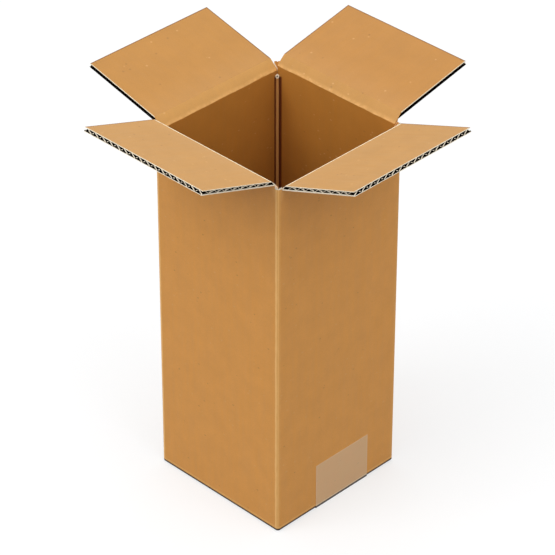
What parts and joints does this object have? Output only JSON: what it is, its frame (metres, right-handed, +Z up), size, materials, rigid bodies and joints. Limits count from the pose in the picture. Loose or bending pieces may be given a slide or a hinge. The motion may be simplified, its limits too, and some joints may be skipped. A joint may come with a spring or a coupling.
{
  "type": "open cardboard box",
  "caption": "Tall square corrugated cardboard box with hinged lapping top flaps standing open and a lapped bottom sealed with packing tape.",
  "frame": {"origin": "on the floor, under the middle of the box's four walls", "axes": "+Z up; the front wall faces -Y and the right wall, which shows one end of the tape, faces +X"},
  "size_m": [0.2287, 0.2298, 0.2855],
  "materials": {
    "kraft_board": "matt brown kraft paper",
    "packing_tape": "thin translucent film, satin"
  },
  "bodies": {
    "box": {"box_body": "kraft_board", "sealing_tape": "packing_tape"},
    "front_flap": {"front_flap": "kraft_board"},
    "right_flap": {"right_flap": "kraft_board"},
    "back_flap": {"back_flap": "kraft_board"},
    "left_flap": {"left_flap": "kraft_board"}
  },
  "joints": [
    {"name": "front_crease", "type": "hinge", "parent": "box", "child": "front_flap", "pos_m": [0, -0.0538, 0.2623], "axis": [1, 0, 0], "range_deg": [-156.3, 103.7]},
    {"name": "right_crease", "type": "hinge", "parent": "box", "child": "right_flap", "pos_m": [0.0538, 0, 0.259], "axis": [0, 1, 0], "range_deg": [-159.2, 105.8]},
    {"name": "back_crease", "type": "hinge", "parent": "box", "child": "back_flap", "pos_m": [0, 0.0538, 0.2623], "axis": [-1, 0, 0], "range_deg": [-168.1, 96.9]},
    {"name": "left_crease", "type": "hinge", "parent": "box", "child": "left_flap", "pos_m": [-0.0538, 0, 0.259], "axis": [0, -1, 0], "range_deg": [-171.2, 98.8]}
  ]
}
